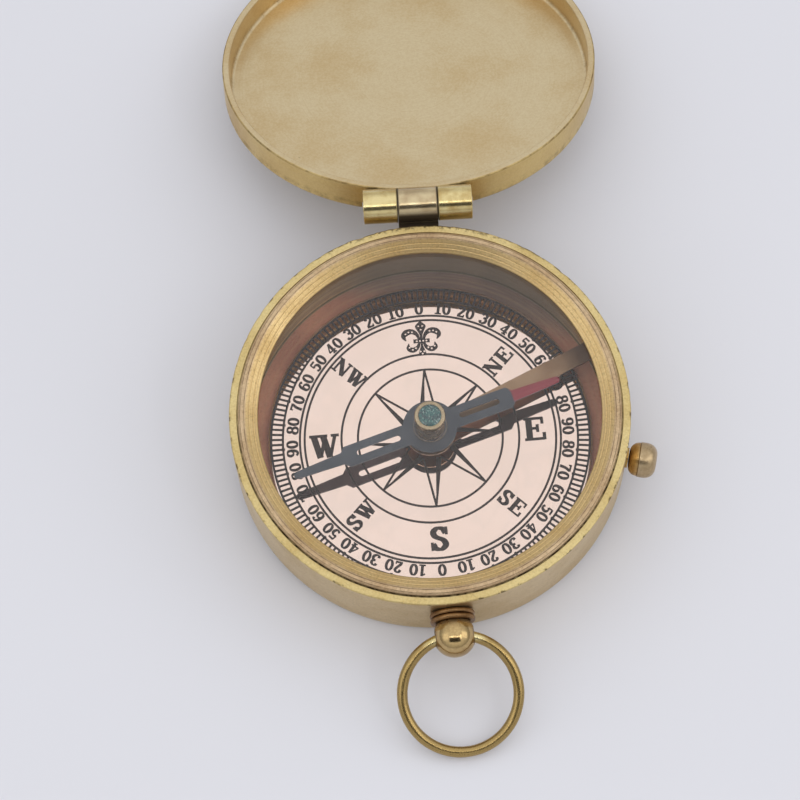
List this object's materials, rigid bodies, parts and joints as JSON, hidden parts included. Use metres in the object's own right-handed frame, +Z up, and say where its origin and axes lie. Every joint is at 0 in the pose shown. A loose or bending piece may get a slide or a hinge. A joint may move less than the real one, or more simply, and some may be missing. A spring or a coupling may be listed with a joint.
{
  "type": "pocket compass",
  "caption": "Lidded brass pocket compass: round case with glass over a mirror dial and bar needle, hinged lid, side knob that locks the needle, and a carrying ring.",
  "frame": {"origin": "middle of the flat base of the case", "axes": "+Z up along the dial's axis, +Y towards the lid hinge, +X towards the side that holds the lock knob"},
  "size_m": [0.0747, 0.1667, 0.0356],
  "materials": {
    "case_brass": "turned and polished, lightly lacquered",
    "lid_brass": "polished, slightly clouded inside",
    "bezel_brass": "turned, with fine lathe lines",
    "fitting_brass": "turned",
    "lever_brass": "rolled strip",
    "knob_brass": "polished",
    "hinge_brass": "polished, tarnished in the joints",
    "pendant_brass": "polished, browned collars",
    "ring_brass": "polished drawn wire",
    "dial_copper": "mirror polish, dark print",
    "clear_glass": "clear, flat",
    "green_stone": "polished stone",
    "blued_steel": "blued, red painted north tip",
    "steel": "ground"
  },
  "bodies": {
    "case": {"case_body": "case_brass", "dial_plate": "dial_copper", "bezel_ring": "bezel_brass", "glass": "clear_glass", "glass_retainer": "bezel_brass", "pivot_seat": "fitting_brass", "pivot_pin": "steel", "lever_bracket": "fitting_brass", "lever_pin": "steel", "lock_bush": "fitting_brass", "case_hinge_leaf": "hinge_brass", "hinge_pin": "steel", "pendant_collar_inner": "pendant_brass", "pendant_collar_outer": "pendant_brass", "pendant_ball": "pendant_brass"},
    "lid": {"lid_shell": "lid_brass", "lid_knuckle_left": "hinge_brass", "lid_knuckle_right": "hinge_brass"},
    "lock": {"lock_stem": "steel", "lock_knob": "knob_brass"},
    "lifter": {"lifter_lever": "lever_brass"},
    "needle": {"needle_blade": "blued_steel", "needle_cap": "fitting_brass", "needle_collar": "fitting_brass", "cap_jewel": "green_stone"},
    "bow": {"bow_ring": "ring_brass"}
  },
  "joints": [
    {"name": "lid_hinge", "type": "hinge", "parent": "case", "child": "lid", "pos_m": [0, 0.0391, 0.0167], "axis": [-1, 0, 0], "range_deg": [-201.5, 10]},
    {"name": "lock_slide", "type": "slide", "parent": "case", "child": "lock", "axis": [0.9763, -0.2164, 0], "range_m": [0, 0.0012]},
    {"name": "lifter_rock", "type": "hinge", "parent": "case", "child": "lifter", "pos_m": [0.02991, 0.01395, 0.0055], "axis": [-0.4226, 0.9063, 0], "range_deg": [0, 0.88]},
    {"name": "needle_spin", "type": "hinge", "parent": "lifter", "child": "needle", "pos_m": [0, 0, 0.0081], "axis": [0, 0, 1], "continuous": true},
    {"name": "bow_swing", "type": "hinge", "parent": "case", "child": "bow", "pos_m": [0.00207, -0.03945, 0.0113], "axis": [-0.9986, -0.0523, 0], "range_deg": [-69, 115]}
  ],
  "couplings": [
    {"joint": "lifter_rock", "follows": "lock_slide", "rad_per_m": 12.627}
  ]
}
